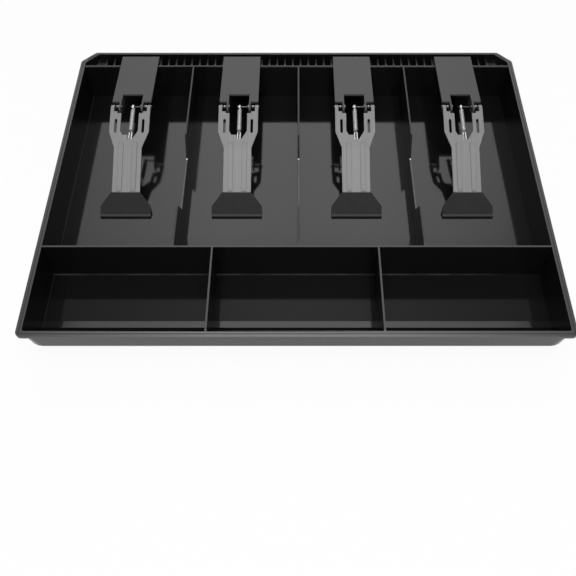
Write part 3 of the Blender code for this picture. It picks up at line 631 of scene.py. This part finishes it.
def springLine():
    # points from the top ring round the post, down the coil, to the loop through the arm's tongue
    spring = springSet
    post = Vector((0, *spring["post"]))
    low = Vector((0, *spring["lowCentre"]))
    along = (low - post).normalized()
    across = Vector((1, 0, 0))
    up = along.cross(across)
    start = post + along * spring["postReach"]
    radius = (spring["coilWidth"] - spring["wire"]) / 2
    thicker = spring["hookThicker"]
    points = []

    def put(down, over, aside, thick=1):
        points.append(((start + along * down + up * over + across * aside) * mm, thick))

    ring, aside = spring["topRing"], spring["topSideways"]
    gap = spring["wire"] * spring["topRingGap"] * spring["topRingTurn"] / 360
    for step in range(spring["topRingPoints"] + 1):
        share = step / spring["topRingPoints"]
        angle = math.radians(spring["topRingFrom"] + spring["topRingTurn"] * share)
        put(ring * math.cos(angle), ring * math.sin(angle), aside + gap * (share - 0.5), thicker)
    lead = spring["coilStart"] - ring
    for step in range(1, spring["topLeadPoints"]):
        share = step / spring["topLeadPoints"]
        put(ring + lead * share, -radius * (1 + share) / 2, aside)

    steps = spring["turns"] * spring["pointsPerTurn"]
    length = spring["coilEnd"] - spring["coilStart"]
    for step in range(steps + 1):
        share = step / steps
        angle = 2 * math.pi * step / spring["pointsPerTurn"] - math.pi / 2
        middle = aside + (spring["sideways"] - aside) * share
        down = spring["coilStart"] + length * share
        put(down, radius * math.sin(angle), middle + radius * math.cos(angle))

    middle, ring = spring["sideways"], spring["lowRing"]
    loopStart = spring["coilEnd"] + spring["loopLead"]
    loopEnd = (low - start).length
    for past, drop, share in spring["lowBends"]:
        put(spring["coilEnd"] + past, -radius * drop, (middle + ring) * share)
    put(loopStart, 0, middle + ring, thicker)
    for step in range(spring["lowRingPoints"] + 1):
        angle = math.pi * step / spring["lowRingPoints"]
        put(loopEnd + ring * math.sin(angle), 0, middle + ring * math.cos(angle), thicker)
    put(loopStart, 0, middle - ring, thicker)
    return points


def coilMesh(clip, pivot):
    curve = bpy.data.curves.new(f"springCoil{clip}", "CURVE")
    curve.dimensions = "3D"
    line = curve.splines.new("POLY")
    points = springLine()
    line.points.add(len(points) - 1)
    for place, (point, thick) in zip(line.points, points):
        place.co = (*(point + pivot), 1)
        place.radius = thick
    curve.bevel_depth = springSet["wire"] * mm / 2
    curve.bevel_resolution = springSet["wireSmoothness"]
    curve.use_fill_caps = True
    shape = bpy.data.objects.new(f"springShape{clip}", curve)
    bpy.context.scene.collection.objects.link(shape)
    graph = bpy.context.evaluated_depsgraph_get()
    mesh = bpy.data.meshes.new_from_object(shape.evaluated_get(graph))
    bpy.data.objects.remove(shape)
    return mesh


def makeSpring(clip, finishes):
    # the coil in the first finish, and the ring and the loop in the second, near white as a painted
    # highlight
    hinge = next(joint for joint in frame["joints"] if joint["name"] == f"arm_{clip}_hinge")
    pivot = Vector(hinge["pos_m"])
    mesh = coilMesh(clip, pivot)
    coil = bpy.data.objects.new(f"springCoil{clip}", mesh)
    bpy.context.scene.collection.objects.link(coil)
    mesh.materials.clear()
    for finish in finishes:
        mesh.materials.append(finish)
    lowHook, topHook = (place * mm for place in springSet["hooksBeyond"])
    for face in mesh.polygons:
        face.material_index = not lowHook <= face.center.y - pivot.y <= topHook
    mesh.shade_smooth()
    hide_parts(f"spring_{clip}")
    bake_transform(coil)


# floor and light: a white table, a bright wall behind it that the glossy plastic mirrors, and a soft box
# overhead. The wall's top and bottom are in degrees, and pairs are the two ends of a sideways fade.
stageSet = {
    "size": 6.0,
    "under": 0.0002,
    "white": (0.9, 0.9, 0.9),
    "dullness": 0.9,
    "shadow": 0.07,
    "wallTop": 57,
    "wallSoft": 0.02,
    "wall": 2.05,
    "lowWall": 1.45,
    "lowWallFrom": 30,
    "lowWallSoft": 0.2,
    "wallSides": 0.68,
    "wallSidesFrom": (0.1, 0.27),
    "wallFarSides": 0.12,
    "wallFarSidesFrom": (0.265, 0.31),
    "overhead": 0.55,
    "overheadSides": 0.2,
    "overheadSidesFrom": (0.03, 0.3),
    "box": {"place": (0, -0.22, 1.2), "size": (0.6, 0.42), "power": 3.4},
    "lamp": {"place": (0, -0.7, 1.3), "size": (1.0, 0.9), "power": 11},
}


def seenBackground(tree):
    path = addNode(tree, "ShaderNodeLightPath").outputs
    return path, calculate(tree, "MAXIMUM", path["Is Camera Ray"], path["Is Transmission Ray"])


def addFloor():
    half = stageSet["size"] / 2
    mesh = bpy.data.meshes.new("table")
    corners = [(-half, -half, 0), (half, -half, 0), (half, half, 0), (-half, half, 0)]
    mesh.from_pydata(corners, [], [(0, 1, 2, 3)])
    floor = bpy.data.objects.new("table", mesh)
    floor.location.z = -stageSet["under"]
    bpy.context.scene.collection.objects.link(floor)
    material, tree, shader = newMaterial("tableWhite")
    shader.inputs["Base Color"].default_value = (*stageSet["white"], 1)
    shader.inputs["Roughness"].default_value = stageSet["dullness"]
    path, seen = seenBackground(tree)
    lit = times(tree, calculate(tree, "MAXIMUM", seen, path["Is Glossy Ray"]), 1 - stageSet["shadow"])
    glow = addNode(tree, "ShaderNodeEmission", {0: (1, 1, 1, 1), 1: 1.0})
    mix = addNode(tree, "ShaderNodeMixShader", {0: lit, 1: shader.outputs[0], 2: glow.outputs[0]})
    tree.links.new(mix.outputs[0], tree.nodes["Material Output"].inputs[0])
    mesh.materials.append(material)


def addWorld():
    world = bpy.data.worlds.new("studio")
    bpy.context.scene.world = world
    world.use_nodes = True
    tree = world.node_tree
    tree.nodes.clear()
    output = addNode(tree, "ShaderNodeOutputWorld")
    across, along, up = axesOf(tree, addNode(tree, "ShaderNodeTexCoord").outputs["Generated"])
    aside = absolute(tree, across)
    look = stageSet
    top = math.radians(look["wallTop"])
    over = calculate(tree, "SUBTRACT", times(tree, up, math.cos(top)), times(tree, along, math.sin(top)))
    over = above(tree, over, -look["wallSoft"], look["wallSoft"])
    bottom = math.sin(math.radians(look["lowWallFrom"]))
    wall = spread(tree, up, look["lowWall"], look["wall"], bottom, bottom + look["lowWallSoft"])
    sides = spread(tree, aside, 1, look["wallSides"], *look["wallSidesFrom"])
    farSides = spread(tree, aside, 1, look["wallFarSides"], *look["wallFarSidesFrom"])
    wall = times(tree, wall, sides, farSides)
    overhead = spread(tree, aside, look["overhead"], look["overheadSides"], *look["overheadSidesFrom"])
    _, seen = seenBackground(tree)
    shown = mixValue(tree, seen, mixValue(tree, over, wall, overhead), 1.0)
    back = addNode(tree, "ShaderNodeBackground", {0: (1, 1, 1, 1), 1: shown})
    tree.links.new(back.outputs[0], output.inputs[0])


def addLamp(name, lampSet, mirrored):
    data = bpy.data.lights.new(name, "AREA")
    data.shape = "RECTANGLE"
    data.size, data.size_y = lampSet["size"]
    data.energy = lampSet["power"]
    lamp = bpy.data.objects.new(name, data)
    lamp.location = lampSet["place"]
    lamp.rotation_euler = (-Vector(lampSet["place"])).to_track_quat("-Z", "Y").to_euler()
    lamp.visible_glossy = mirrored
    bpy.context.scene.collection.objects.link(lamp)


bpy.context.scene.view_settings.view_transform = "Standard"
print("camera")
addCamera()
print("tray, brackets, arms, pads and pins")
dressNodes()
print("springs")
springFinishes = [brightMetal("springWire", metalLook["wire"]), brightMetal("springHookPaintedHighlight", metalLook["hook"])]
for clip in clips:
    makeSpring(clip, springFinishes)
print("table and light")
addFloor()
addWorld()
addLamp("soft box", stageSet["box"], True)
addLamp("fill", stageSet["lamp"], False)
